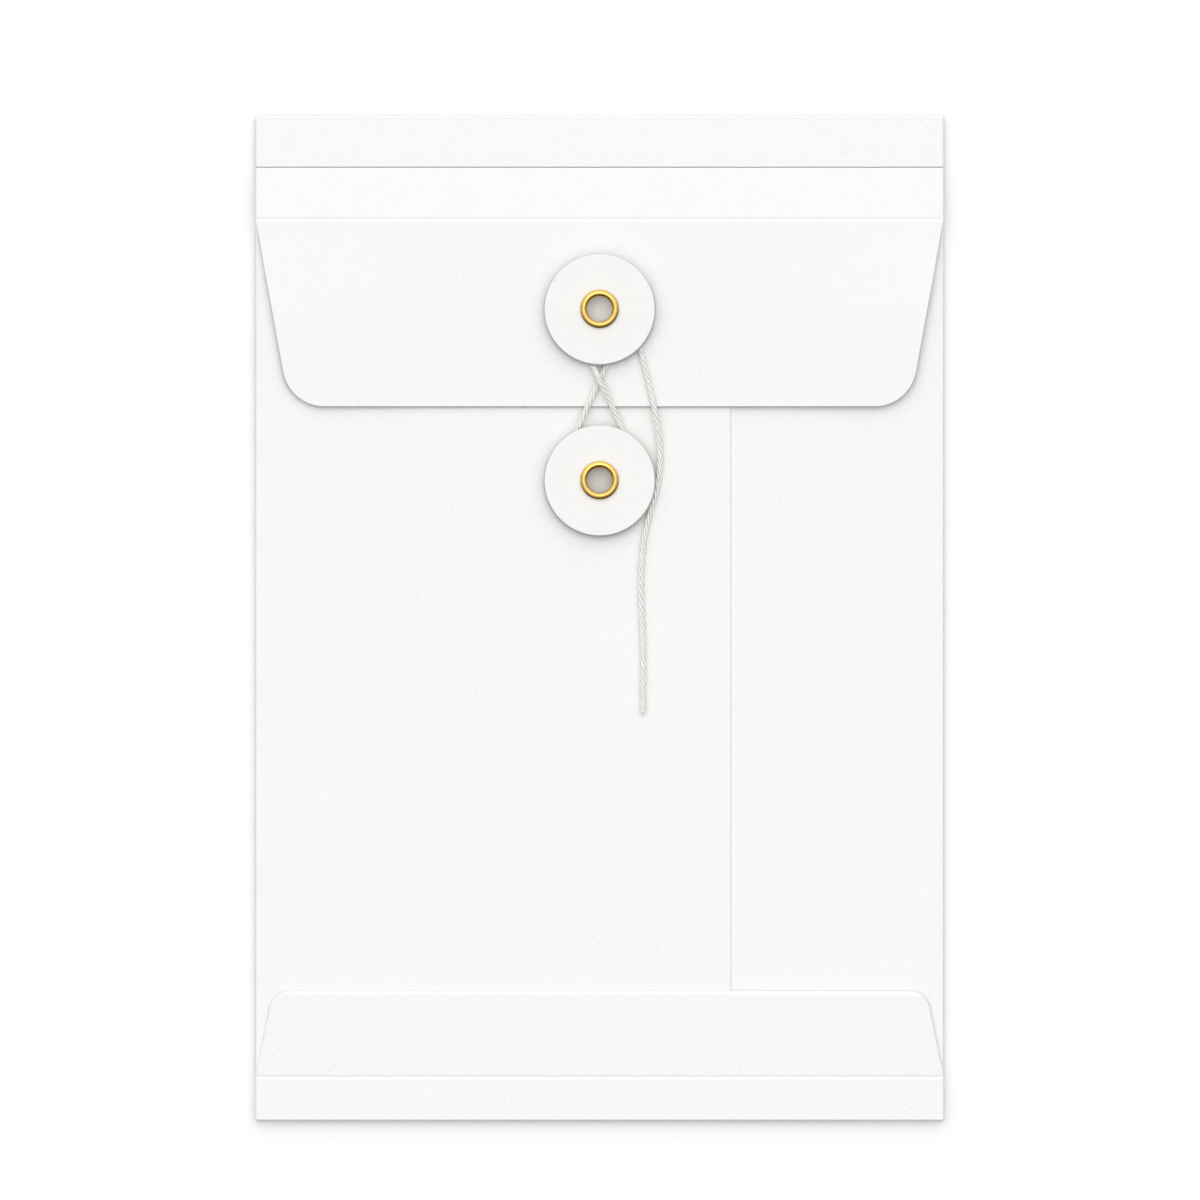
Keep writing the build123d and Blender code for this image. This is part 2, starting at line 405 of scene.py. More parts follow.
def string_material():
    """Off-white twisted cotton: streaks of fibre along each strand, and painted shade in the grooves between
    strands.

    It reads the string's own coordinates: millimetres along it, and strand number plus share of the way out.
    """
    material, tree, shader = new_material("string", STRING_ROUGHNESS)
    shader.inputs["Specular IOR Level"].default_value = STRING_GLOSS
    shader.inputs["Sheen Weight"].default_value = STRING_SHEEN
    along = tree.nodes.new("ShaderNodeUVMap").outputs["UV"]
    streaks = noise(tree, stretched(tree, along, COTTON_STRETCH), 1.0, 3)
    fibres = ramp(tree, streaks, (NOISE_LOW, COTTON_DARK), (COTTON_LIGHT_AT, COTTON_LIGHT))
    across = tree.nodes.new("ShaderNodeSeparateXYZ")
    tree.links.new(along, across.inputs["Vector"])
    way_out = tree.nodes.new("ShaderNodeMath")
    way_out.operation = "FRACT"
    tree.links.new(across.outputs["Y"], way_out.inputs[0])
    # Painted shade in the grooves, darkest nearest the string's middle
    grooves = ramp(tree, way_out.outputs["Value"], (GROOVE_FULL, grey(GROOVE_PAINTED_SHADE)), (GROOVE_END, WHITE))
    tree.links.new(multiply(tree, fibres, grooves), shader.inputs["Base Color"])
    bump(tree, shader, streaks, COTTON_DEPTH)
    return material


def glue_material():
    """A thin film of dried glue with thicker and thinner patches."""
    material, tree, shader = new_material("glue", GLUE_ROUGHNESS)
    patches = noise(tree, object_place(tree), GLUE_PATCHES, 2)
    colour = ramp(tree, patches, (NOISE_LOW, GLUE_DARK), (NOISE_HIGH, GLUE_LIGHT))
    tree.links.new(colour, shader.inputs["Base Color"])
    return material


paper = paper_material("paper", PAPER_WHITE, PAPER_SPECK)
card = paper_material("button_card", CARD_WHITE, CARD_SPECK)
# Painted shade for the steep faces of cut edges
cut_edge_painted_shade = paper_material("cut_edge_painted_shade", CUT_PAINTED_SHADE, CUT_SPECK)
brass = brass_material()
# Painted shade for the inside of the eyelets' bores
barrel_painted_shade = shaded_barrel_material()
cotton = string_material()
glue = glue_material()


# Camera

# The picture is a square this wide at the height of the outline, taken with a long lens
FRAME_WIDTH = 288.0
FRAME_CENTRE = (0.1, 4.4)
OUTLINE_Z = 0.7
LENS = 500.0
SENSOR = 36.0

# What the camera sees, in metres from it
CLIP_NEAR = 0.01
CLIP_FAR = 100.0


def add_camera():
    """Straight above the envelope, with the flap's fold at the top of the picture."""
    data = bpy.data.cameras.new("camera")
    data.lens = LENS
    data.sensor_width = SENSOR
    data.clip_start = CLIP_NEAR
    data.clip_end = CLIP_FAR
    camera = bpy.data.objects.new("camera", data)
    height = FRAME_WIDTH * LENS / SENSOR + OUTLINE_Z
    camera.location = Vector((*FRAME_CENTRE, height)) * MM
    bpy.context.scene.collection.objects.link(camera)
    bpy.context.scene.camera = camera


add_camera()


# String: the same route as the solid's

# Heights of its middle where it lies on the flap, on the front and over itself
on_flap = flap_top + STRING_DIAMETER / 2 + STRING_LIFT
on_front = front_top + STRING_DIAMETER / 2 + STRING_LIFT
over_itself = on_flap + STRING_DIAMETER + STRING_CROSSING_GAP

# The turn round the upper barrel: corners at these angles, outside a circle of this radius
ANCHOR_RADIUS = 4.25
ANCHOR_ANGLES = (-90, -150, -210, -270, -330)
ANCHOR_HALF_TURN = 30

FIGURE_EIGHT = [
    (5.15, 68.60, on_flap),
    (1.85, 61.20, on_flap),
    (-2.50, 51.70, on_flap + 0.18),
    (-5.50, 45.00, on_front + 0.28),
    (-7.30, 40.50, on_front + 0.10),
    (-7.30, 31.50, on_front),
    (-3.70, 25.90, on_front),
    (3.70, 25.90, on_front),
    (7.30, 31.50, on_front),
    (7.20, 40.30, on_front + 0.10),
    (5.45, 45.40, on_front + 0.28),
    (2.75, 51.60, on_flap + 0.18),
    (1.40, 54.20, on_flap + 1.00),
    (0.15, 56.70, over_itself),
    (-0.64, 58.45, over_itself),
    (-1.85, 61.00, on_flap + 0.12),
    (-3.70, 66.30, on_flap + 0.10),
    (-7.80, 75.35, on_flap + 0.08),
    (-2.60, 81.60, on_flap + 0.08),
    (5.70, 80.20, on_flap + 0.08),
]
TAIL = [
    (9.20, 66.60, on_flap),
    (11.60, 57.30, on_flap + 0.04),
    (13.40, 49.40, on_flap + 0.12),
    (14.45, 42.20, on_front + 0.40),
    (14.45, 35.20, on_front + 0.08),
    (13.50, 29.80, on_front),
    (11.90, 24.90, on_front),
    (10.55, 19.00, on_front),
    (9.90, 12.00, on_front),
    (9.90, 5.00, on_front),
    (10.30, -3.00, on_front),
    (10.50, -11.00, on_front),
    (10.40, -17.00, on_front),
    (10.45, -22.60, on_front),
]
LINE_RESOLUTION = 24

# Strands of the string, laid left-handed round its middle, and the yarns of each strand
STRANDS = 4
STRAND_RADIUS = 0.28
STRAND_OFFSET = 0.37
STRAND_SIDES = 12
LAY = 7.9
YARNS = 3
YARN_DEPTH = 0.06
YARN_LAY = 2.2
STATION = 0.28

# The strands open a little at the bare end
SPLAY = 0.2
SPLAY_LENGTH = 1.2

# The share of the way out, kept below one so that it never reads as the next strand's number
OUT_SCALE = 0.95
OUT_LIMIT = 0.99


def string_line():
    """Points along the string's smooth middle line, in millimetres."""
    reach = ANCHOR_RADIUS / math.cos(math.radians(ANCHOR_HALF_TURN))
    route = []
    for degrees in ANCHOR_ANGLES:
        angle = math.radians(degrees)
        route.append((reach * math.cos(angle), UPPER_BUTTON_Y + reach * math.sin(angle), on_flap))
    route += FIGURE_EIGHT + TAIL
    curve = bpy.data.curves.new("string_line", "CURVE")
    curve.dimensions = "3D"
    curve.resolution_u = LINE_RESOLUTION
    spline = curve.splines.new("NURBS")
    spline.points.add(len(route) - 1)
    for point, place in zip(spline.points, route):
        point.co = (*(Vector(place) * MM), 1)
    spline.order_u = 3
    spline.use_endpoint_u = True
    holder = bpy.data.objects.new("string_line", curve)
    mesh = bpy.data.meshes.new_from_object(holder)
    points = [v.co / MM for v in mesh.vertices]
    bpy.data.objects.remove(holder)
    bpy.data.curves.remove(curve)
    bpy.data.meshes.remove(mesh)
    return points


def even_stations(points, step):
    """The line's points again, evenly spaced, with the length run so far at each."""
    run = [0.0]
    for a, b in zip(points, points[1:]):
        run.append(run[-1] + (b - a).length)
    count = round(run[-1] / step)
    stations = []
    k = 0
    for n in range(count + 1):
        wanted = run[-1] * n / count
        while k < len(run) - 2 and run[k + 1] < wanted:
            k += 1
        share = (wanted - run[k]) / (run[k + 1] - run[k])
        stations.append((points[k].lerp(points[k + 1], share), wanted))
    return stations


def strand_rings(stations, number):
    """Rings of points along one strand, with the material's coordinates of each point."""
    length = stations[-1][1]
    points = []
    coordinates = []
    for k, (middle, run) in enumerate(stations):
        before = stations[max(k - 1, 0)][0]
        after = stations[min(k + 1, len(stations) - 1)][0]
        ahead = (after - before).normalized()
        side = ahead.cross(Vector((0, 0, 1))).normalized()
        up = side.cross(ahead)
        turn = 2 * math.pi * (number / STRANDS - run / LAY)
        open_end = max(0.0, 1 - (length - run) / SPLAY_LENGTH)
        offset = STRAND_OFFSET * (1 + SPLAY * open_end**2)
        centre = middle + offset * (math.cos(turn) * up + math.sin(turn) * side)
        for s in range(STRAND_SIDES):
            angle = 2 * math.pi * s / STRAND_SIDES
            ripple = math.cos(YARNS * angle + 2 * math.pi * run / YARN_LAY)
            radius = STRAND_RADIUS * (1 + YARN_DEPTH * ripple)
            point = centre + radius * (math.cos(angle) * up + math.sin(angle) * side)
            outwards = (point - middle).length / (STRAND_OFFSET + STRAND_RADIUS)
            points.append(point)
            coordinates.append((run, number + min(OUT_SCALE * outwards, OUT_LIMIT)))
    return points, coordinates


def strand_faces(first, rings):
    """Faces of one strand, closed at both ends, whose points start at a number."""
    faces = []
    for k in range(rings - 1):
        here = first + k * STRAND_SIDES
        there = here + STRAND_SIDES
        for s in range(STRAND_SIDES):
            t = (s + 1) % STRAND_SIDES
            faces.append((here + s, here + t, there + t, there + s))
    last = first + (rings - 1) * STRAND_SIDES
    faces.append(tuple(range(first, first + STRAND_SIDES)))
    faces.append(tuple(range(last, last + STRAND_SIDES)))
    return faces


def string_piece():
    """Strands twisted round the middle line, each with the ripple of its own yarns."""
    stations = even_stations(string_line(), STATION)
    vertices = []
    faces = []
    coordinates = []
    for number in range(STRANDS):
        faces += strand_faces(len(vertices), len(stations))
        points, marks = strand_rings(stations, number)
        vertices += points
        coordinates += marks
    piece = add_piece("tie_string_cord", vertices, faces, cotton, ROUND_SHARP)
    layer = piece.data.uv_layers.new(name="UVMap")
    for loop in piece.data.loops:
        layer.data[loop.index].uv = coordinates[loop.vertex_index]
    settle(piece, "flap", "tie_string")
    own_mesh(piece)


string_piece()


# Paper: sheets

# Cut edges: the blade presses the upper face down and in a little
EDGE_ROUND = 0.06
EDGE_DROP = 0.3
CUT_SLANT = 0.22
CUT_BAND = 0.28

# A face of a cut edge gets painted shade where the upright share of its normal is below this
CUT_SHADE_STEEPNESS = 0.8

# Distances at which the paper gets a row of points, from a cut edge and from a bend
EDGE_ROWS = (0.0, 0.02, EDGE_ROUND, 0.35)
FLAT_ROWS = (0.1, 0.3)

# Numbers of steps across a sheet, round a bend, round a flap's corner and round a hole
SHEET_STEPS = 30
BEND_STEPS = 16
CORNER_STEPS = 24
HOLE_STEPS = 96
HOLE_CUTTER_LENGTH = 20.0

# Which of two ends are cut edges
NEITHER = (False, False)
SECOND = (False, True)
BOTH = (True, True)


def upper_share(distance, free):
    """Share of the half thickness that the upper face keeps near a cut edge."""
    if not free:
        return 1.0
    return 1.0 - EDGE_DROP * max(0.0, 1 - distance / EDGE_ROUND)


def slant_in(distance, free, band):
    """How far the upper face stands back near a cut edge."""
    if not free:
        return 0.0
    return CUT_SLANT * max(0.0, 1 - distance / band)


def cross_places(low, high):
    """Places across a sheet: close together at both edges and evenly spaced between."""
    inner_low = low + EDGE_ROWS[-1]
    inner_high = high - EDGE_ROWS[-1]
    places = [low + e for e in EDGE_ROWS[:-1]]
    places += [inner_low + (inner_high - inner_low) * k / SHEET_STEPS for k in range(SHEET_STEPS + 1)]
    places += [high - e for e in reversed(EDGE_ROWS[:-1])]
    return places


def run_normals(path, side):
    """The direction square to each point of a folded run, on the outer side."""
    normals = []
    for k in range(len(path)):
        before = path[max(k - 1, 0)]
        after = path[min(k + 1, len(path) - 1)]
        da = after[0] - before[0]
        dz = after[1] - before[1]
        length = math.hypot(da, dz)
        normals.append((side * dz / length, -side * da / length))
    return normals


def sheet_faces(rows, width):
    """Faces of a closed sheet: upper points row by row, then as many lower ones, joined round the rim."""
    below = rows * width
    faces = []
    for j in range(rows - 1):
        for i in range(width - 1):
            corner = j * width + i
            quad = (corner, corner + 1, corner + width + 1, corner + width)
            faces.append(quad)
            faces.append(tuple(below + v for v in reversed(quad)))
    rim = list(range(width))
    rim += [j * width + width - 1 for j in range(1, rows)]
    rim += [(rows - 1) * width + i for i in reversed(range(width - 1))]
    rim += [j * width for j in reversed(range(1, rows - 1))]
    for here, there in zip(rim, rim[1:] + rim[:1]):
        faces.append((here, below + here, below + there, there))
    return faces


def level(run, across):
    """No extra height."""
    return 0.0


def folded_sheet(
    name,
    path,
    normals,
    span,
    along="Y",
    free=NEITHER,
    sides=BOTH,
    shift=level,
    upper_span=None,
    band=CUT_BAND,
):
    """Paper along a folded run. path and normals are (run, height), span gives the ends across the run.

    along is X where the run crosses the envelope from side to side and Y where it goes up and down it.
    free tells whether the first and last points, and sides whether the two ends across, are cut edges.
    shift gives a small extra height at a place. upper_span gives the ends across the upper face where they
    follow an outline of their own, and band is how far from a cut end the upper face starts to stand back.
    """
    forward = math.copysign(1, path[-1][0] - path[0][0])
    upper = []
    lower = []
    for (a, z), (na, nz) in zip(path, normals):
        low, high = span(a)
        from_start = math.dist((a, z), path[0])
        from_end = math.dist((a, z), path[-1])
        run_back = forward * (slant_in(from_start, free[0], band) - slant_in(from_end, free[1], band))
        if upper_span:
            ends = upper_span(a + run_back)
        else:
            ends = low + CUT_SLANT * sides[0], high - CUT_SLANT * sides[1]
        for b, across in zip(cross_places(low, high), cross_places(*ends)):
            share = min(
                upper_share(from_start, free[0]),
                upper_share(from_end, free[1]),
                upper_share(b - low, sides[0]),
                upper_share(high - b, sides[1]),
            )
            half = share * half_paper
            height = z + shift(a, b)
            upper.append((a + na * half + run_back, across, height + nz * half))
            lower.append((a - na * half_paper, b, height - nz * half_paper))
    vertices = upper + lower
    if along == "Y":
        vertices = [(across, run, height) for run, across, height in vertices]
    faces = sheet_faces(len(path), len(upper) // len(path))
    return add_piece(name, vertices, faces, paper, PAPER_SHARP)


def punch(piece, y):
    """Cuts the hole for an eyelet's barrel through a sheet."""
    bpy.ops.mesh.primitive_cylinder_add(
        vertices=HOLE_STEPS, radius=HOLE_RADIUS * MM, depth=HOLE_CUTTER_LENGTH * MM, location=(0, y * MM, 0)
    )
    cutter = bpy.context.object
    cut = piece.modifiers.new("hole", "BOOLEAN")
    cut.operation = "DIFFERENCE"
    cut.solver = "EXACT"
    cut.object = cutter
    bpy.context.view_layer.update()
    depsgraph = bpy.context.evaluated_depsgraph_get()
    mesh = bpy.data.meshes.new_from_object(piece.evaluated_get(depsgraph))
    piece.modifiers.clear()
    piece.data = mesh
    shade(mesh, PAPER_SHARP)
    bpy.data.objects.remove(cutter)


def paint_cut_shade(piece):
    """Gives the steep faces along a cut edge a darker grey, painted shade that stands in for the shadow
    along the edge.
    """
    piece.data.materials.append(cut_edge_painted_shade)
    for face in piece.data.polygons:
        if abs(face.normal.z) < CUT_SHADE_STEEPNESS:
            face.material_index = 1


# Paper: outlines

# Where the points of a round corner start, in degrees from the flap's side
CORNER_START = 8


def full_width(run):
    """A strip as wide as the envelope."""
    return -half_width, half_width


def tapered(root_y, edge_y, taper, corner):
    """The width of a flap that narrows from its crease to an edge with two round corners."""
    down = -1 if edge_y < root_y else 1
    length = abs(edge_y - root_y)
    slant = math.hypot(length, taper)
    centre_x = half_width - (corner * slant + (length - corner) * taper) / length

    def span(y):
        run = min(max((y - root_y) * down, 0.0), length)
        half = half_width - taper * run / length
        if run > length - corner + corner * taper / slant:
            beyond = min(run - (length - corner), corner)
            half = centre_x + math.sqrt(corner**2 - beyond**2)
        return -half, half

    return span


def corner_rows(root_y, edge_y, corner):
    """Places along a flap that are close enough together to draw its round corners."""
    down = -1 if edge_y < root_y else 1
    rows = []
    for k in range(CORNER_STEPS):
        angle = math.radians(CORNER_START + (90 - CORNER_START) * k / CORNER_STEPS)
        rows.append(edge_y - down * corner * (1 - math.sin(angle)))
    rows += [edge_y - down * e for e in reversed(EDGE_ROWS)]
    return sorted(set(rows), key=lambda y: (y - root_y) * down)


# Paper: the flap that closes the envelope, from the top fold to its lower edge

# The valley crease, and the pressed scores of both flaps
VALLEY_DEPTH = 0.36
VALLEY_HALF = 0.22
SCORE_DEPTH = 0.16
SCORE_HALF = 0.7
SCORE_SHARPNESS = 1.5

# How far the top strip rises towards the valley
STRIP_TILT = 0.40

# The flap rises towards its sides: by this much one span outside the start, and in full after a run down it
FLAP_CURL = 0.56
CURL_START = 28.0
CURL_SPAN = 40.0
CURL_RUN = 25.0
CURL_SHARPNESS = 1.5

# Distances along each panel, and from a score's line, at which the paper gets a row of points
STRIP_ROWS = (0.0, 0.3, 1.0, 4.0, 8.0, 11.0)
SHOULDER_ROWS = (1.0, 3.0, 6.0, 9.0)
FLAP_ROWS = (5.0, 10.0, 15.0, 20.0, 25.0, 30.0)
SCORE_ROWS = (0.12, 0.24, 0.4, 0.55, SCORE_HALF, 0.9, 1.3)

# The foot of the flap's cut edge stands further out than its upper face
flap_foot_y = flap_edge_y - CUT_SLANT
flap_foot_taper = CLOSING_FLAP_TAPER - CUT_SLANT
flap_foot_corner = CLOSING_FLAP_CORNER + CUT_SLANT


def score_dip(distance):
    """How far a pressed score sinks the paper at a distance from its line."""
    share = min(abs(distance) / SCORE_HALF, 1.0)
    return SCORE_DEPTH * (1 - share) ** SCORE_SHARPNESS


def flap_run():
    """The run of the flap in side view: strip, valley crease, rising shoulder, score and flap."""
    strip_end = fold_y - valley_y - VALLEY_HALF
    strip = [(fold_y - t, strip_z + STRIP_TILT * t / strip_end) for t in (*STRIP_ROWS, strip_end)]
    valley = [(valley_y, strip_z - VALLEY_DEPTH)]
    shoulder_start = strip_z + STRIP_TILT
    slope = (flap_z - shoulder_start) / SHOULDER_STRIP
    shoulder = [(valley_y - t, shoulder_start + slope * t) for t in (VALLEY_HALF, *SHOULDER_ROWS)]
    for e in reversed(SCORE_ROWS):
        t = SHOULDER_STRIP - e
        shoulder.append((valley_y - t, shoulder_start + slope * t - score_dip(e)))
    score = [(score_y, flap_z - SCORE_DEPTH)]
    flap = [(score_y - e, flap_z - score_dip(e)) for e in SCORE_ROWS]
    flap += [(score_y - t, flap_z) for t in FLAP_ROWS]
    flap += [(y, flap_z) for y in corner_rows(score_y, flap_foot_y, flap_foot_corner)]
    return strip + valley, valley + shoulder + score, score + flap


def flap_curl(y, x):
    """The flap stands up a little towards its sides, because the string holds down only its middle."""
    outwards = max(abs(x) - CURL_START, 0.0) / CURL_SPAN
    down = min((score_y - y) / CURL_RUN, 1.0)
    return FLAP_CURL * outwards**CURL_SHARPNESS * down * down * (3 - 2 * down)


def closing_flap():
    """The three panels of the flap, which turn together."""
    strip, shoulder, flap = flap_run()
    normals = run_normals(strip + shoulder[1:] + flap[1:], 1)
    first = len(strip) - 1
    second = first + len(shoulder) - 1
    piece = folded_sheet("top_strip_paper", strip, normals[: first + 1], full_width)
    settle(piece, "flap", "top_strip")
    piece = folded_sheet("shoulder_paper", shoulder, normals[first : second + 1], full_width)
    settle(piece, "flap", "shoulder_strip")
    piece = folded_sheet(
        "closing_flap_paper",
        flap,
        normals[second:],
        tapered(score_y, flap_foot_y, flap_foot_taper, flap_foot_corner),
        free=SECOND,
        shift=flap_curl,
        upper_span=tapered(score_y, flap_edge_y, CLOSING_FLAP_TAPER, CLOSING_FLAP_CORNER),
        band=flap_foot_corner,
    )
    punch(piece, UPPER_BUTTON_Y)
    # The steep faces of its cut edge get painted shade
    paint_cut_shade(piece)
    settle(piece, "flap", "closing_flap")


def top_fold():
    """The paper that bends round the top edge."""
    radius = strip_z - fold_z
    path = arc(fold_y, fold_z, radius, radius, -90, 90, BEND_STEPS)
    piece = folded_sheet("top_fold_paper", path, run_normals(path, 1), full_width)
    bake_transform(piece)


# Paper: the pocket

# How far the bends at the sides and at the bottom bulge out
SIDE_REACH = 0.18
BOTTOM_REACH = 0.30
left_turn_x = -half_width + half_paper + SIDE_REACH
right_turn_x = half_width - half_paper - SIDE_REACH
bottom_turn_y = -top_edge + half_paper + BOTTOM_REACH

# Places at which the panels get a row of points
BACK_ROWS = (-100, -60, -20, 20, 60)
BACK_TOP_ROWS = (105, 112, 119)
LEFT_FRONT_ROWS = (-80, -70, -50, -30, -10, 10, 25)
RIGHT_FRONT_ROWS = (80, 70, 50, 35)

# Half of the short run over which the back widens at the mouth
MOUTH_EASE = 0.01


def pocket_span(x):
    """The pocket's panels run from the bottom fold to the mouth."""
    return bottom_turn_y, mouth_y


def back_span(y):
    """The back is a little wider above the mouth, where it has no folds at its sides."""
    if y > mouth_y:
        return -half_width, half_width
    return left_turn_x, right_turn_x


def back():
    """The sheet that everything is folded from."""
    rows = (bottom_turn_y, *BACK_ROWS, mouth_y - MOUTH_EASE, mouth_y + MOUTH_EASE, *BACK_TOP_ROWS, fold_y)
    path = [(y, back_z) for y in rows]
    piece = folded_sheet("back_paper", path, run_normals(path, 1), back_span, sides=NEITHER)
    settle(piece, "pocket", "back_panel")


def front(side, turn_x, z, inwards, rows, edge_x, hole_y=None):
    """A side fold and its front panel, which ends at a cut edge. inwards is 1 or -1 along X."""
    rise = (z - back_z) / 2
    start = 270 if inwards > 0 else -90
    bend = arc(turn_x, back_z + rise, SIDE_REACH, rise, start, 90, BEND_STEPS)
    flat = [bend[-1]]
    flat += [(turn_x + inwards * e, z) for e in FLAT_ROWS]
    flat += [(x, z) for x in rows]
    flat += [(edge_x - inwards * e, z) for e in reversed(EDGE_ROWS)]
    normals = run_normals(bend + flat[1:], -inwards)
    last = len(bend) - 1
    piece = folded_sheet(f"{side}_fold_paper", bend, normals[: last + 1], pocket_span, "X")
    settle(piece, "pocket", f"{side}_side_fold")
    piece = folded_sheet(f"{side}_front_paper", flat, normals[last:], pocket_span, "X", SECOND, SECOND)
    if hole_y:
        punch(piece, hole_y)
    settle(piece, "pocket", f"{side}_front_panel")


# Paper: the bottom

# It is folded twice, so the front of its edge stands back a little from the rear
BOTTOM_ROLL = 0.4
BOTTOM_STEP = 0.24
BOTTOM_TURN = 140
ROLL_STEPS = 10

# The glued flap rises from its score, and its edge is pressed down over a short reach
BOTTOM_FLAP_LIFT = 0.35
PRESS_REACH = 0.9
PRESS_DEPTH = 0.3

# Right of the seam there is one front less under it, so it is pressed deeper and over a longer reach
SEAM_STEP = 0.33
SEAM_EASE = 5.0
SEAM_WIDER = 0.2

# Distances along each panel at which the paper gets a row of points
BASE_ROWS = (2.0, 5.0, 8.0)
BOTTOM_FLAP_ROWS = (4.0, 8.0, 12.0)

# The foot of the flap's cut edge stands further out than its upper face
bottom_foot_y = bottom_flap_edge_y + CUT_SLANT
bottom_foot_taper = BOTTOM_FLAP_TAPER - CUT_SLANT
bottom_foot_corner = BOTTOM_FLAP_CORNER + CUT_SLANT


def bottom_flap_lift(y, x):
    """The glued flap's rise from its score, less the press along its edge."""
    rise = BOTTOM_FLAP_LIFT * (y - bottom_score_y) / BOTTOM_FLAP
    beyond_seam = min(max((x - SEAM_X) / SEAM_EASE, 0.0), 1.0)
    reach = PRESS_REACH * (1 + SEAM_WIDER * beyond_seam)
    press = max(0.0, 1 - (bottom_foot_y - y) / reach)
    return rise - (PRESS_DEPTH + SEAM_STEP * beyond_seam) * press**2


def bottom_run():
    """The run of the bottom in side view: fold, base strip up to its score, and flap."""
    rear = back_z + BOTTOM_ROLL
    fore = bottom_flap_z - BOTTOM_ROLL
    fore_reach = BOTTOM_REACH - BOTTOM_STEP
    bend = arc(bottom_turn_y, rear, BOTTOM_REACH, BOTTOM_ROLL, 270, 270 - BOTTOM_TURN, ROLL_STEPS)
    bend += arc(bottom_turn_y, fore, fore_reach, BOTTOM_ROLL, 90 + BOTTOM_TURN, 90, ROLL_STEPS)
    strip = [bend[-1]]
    strip += [(bottom_turn_y + t, bottom_flap_z) for t in (*FLAT_ROWS, *BASE_ROWS)]
    strip += [(bottom_score_y - e, bottom_flap_z - score_dip(e)) for e in reversed(SCORE_ROWS)]
    strip += [(bottom_score_y, bottom_flap_z - SCORE_DEPTH)]
    flap = [strip[-1]]
    flap += [(bottom_score_y + e, bottom_flap_z - score_dip(e)) for e in SCORE_ROWS]
    flap += [(bottom_score_y + t, bottom_flap_z) for t in BOTTOM_FLAP_ROWS]
    flap += [(y, bottom_flap_z) for y in corner_rows(bottom_score_y, bottom_foot_y, bottom_foot_corner)]
    return bend, strip, flap


def bottom():
    """Bottom fold, base strip and the flap glued over the front."""
    bend, strip, flap = bottom_run()
    normals = run_normals(bend + strip[1:] + flap[1:], -1)
    first = len(bend) - 1
    second = first + len(strip) - 1
    piece = folded_sheet("bottom_fold_paper", bend, normals[: first + 1], full_width)
    settle(piece, "pocket", "bottom_fold")
    piece = folded_sheet("base_strip_paper", strip, normals[first : second + 1], full_width)
    settle(piece, "pocket", "base_strip")
    piece = folded_sheet(
        "bottom_flap_paper",
        flap,
        normals[second:],
        tapered(bottom_score_y, bottom_foot_y, bottom_foot_taper, bottom_foot_corner),
        free=SECOND,
        shift=bottom_flap_lift,
        upper_span=tapered(bottom_score_y, bottom_flap_edge_y, BOTTOM_FLAP_TAPER, BOTTOM_FLAP_CORNER),
        band=bottom_foot_corner,
    )
    settle(piece, "pocket", "bottom_flap")


closing_flap()
top_fold()
back()
front("left", left_turn_x, left_front_z, 1, LEFT_FRONT_ROWS, SEAM_X, LOWER_BUTTON_Y)
front("right", right_turn_x, right_front_z, -1, RIGHT_FRONT_ROWS, SEAM_X - SEAM_OVERLAP)
bottom()


# Glue: the solids stay and get a finish

for node in ("seam_glue", "bottom_flap_glue"):
    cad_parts[node].data.materials.clear()
    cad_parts[node].data.materials.append(glue)


# Buttons

DISC_STEPS = 128

# The slanted edge: its width and height, and how far its foot flares out and leans down the front
DISC_EDGE_WIDTH = 0.23
DISC_EDGE_HEIGHT = 0.8
DISC_EDGE_FLARE = 0.24
DISC_EDGE_LEAN = 0.2

# Rounding at the foot and top of the edge and under the hole
DISC_FOOT_ROUND = 0.1
DISC_FOOT_STEPS = 4
DISC_TOP_ROUND = 0.05
DISC_HOLE_ROUND = 0.05

# Distances from the hole and from the outline between which the faces are flat
DISC_HOLE_MARGIN = 0.4
DISC_MARGIN = 0.6
DISC_UNDER_MARGIN = 0.12

# The face sinks round its eyelet: depths at distances outside the rim, and then at distances from the hole
DISC_SINK = ((1.2, 0.0), (0.5, 0.02), (0.0, 0.06))
DISC_LIP = ((0.1, 0.08), (0.0, 0.12))


def button(name, node, y, paper_top):
    """A die-cut card disc with a pressed-over edge, sunk a little round its eyelet."""
    low = paper_top + BUTTON_RAISE
    high = low + BUTTON_THICKNESS
    foot = BUTTON_RADIUS + DISC_EDGE_FLARE
    shoulder = foot - DISC_EDGE_WIDTH
    flat = BUTTON_RADIUS - DISC_MARGIN
    profile = [(HOLE_RADIUS, low + DISC_HOLE_ROUND), (HOLE_RADIUS + DISC_HOLE_ROUND, low)]
    profile += [(HOLE_RADIUS + DISC_HOLE_MARGIN, low), (flat, low), (BUTTON_RADIUS - DISC_UNDER_MARGIN, low)]
    turn = DISC_FOOT_ROUND
    profile += arc(foot - turn, low + turn, turn, turn, -90, 0, DISC_FOOT_STEPS)
    profile += [(foot, high - DISC_EDGE_HEIGHT), (shoulder, high - DISC_TOP_ROUND)]
    profile += [(shoulder - DISC_TOP_ROUND, high), (flat, high)]
    profile += [(RIM_RADIUS + out, high - depth) for out, depth in DISC_SINK]
    profile += [(HOLE_RADIUS + out, high - depth) for out, depth in DISC_LIP]
    piece = lathe(name, profile, y, DISC_STEPS, card, PAPER_SHARP)
    for vertex in piece.data.vertices:
        if math.hypot(vertex.co.x, vertex.co.y - y * MM) > (foot - DISC_EDGE_WIDTH / 2) * MM:
            vertex.co.y -= DISC_EDGE_LEAN * MM
    # The steep faces of its edge get painted shade
    paint_cut_shade(piece)
    settle(piece, node, node)


button("upper_button_card", "upper_button", UPPER_BUTTON_Y, flap_top)
button("lower_button_card", "lower_button", LOWER_BUTTON_Y, front_top)


# Eyelets

EYELET_STEPS = 160

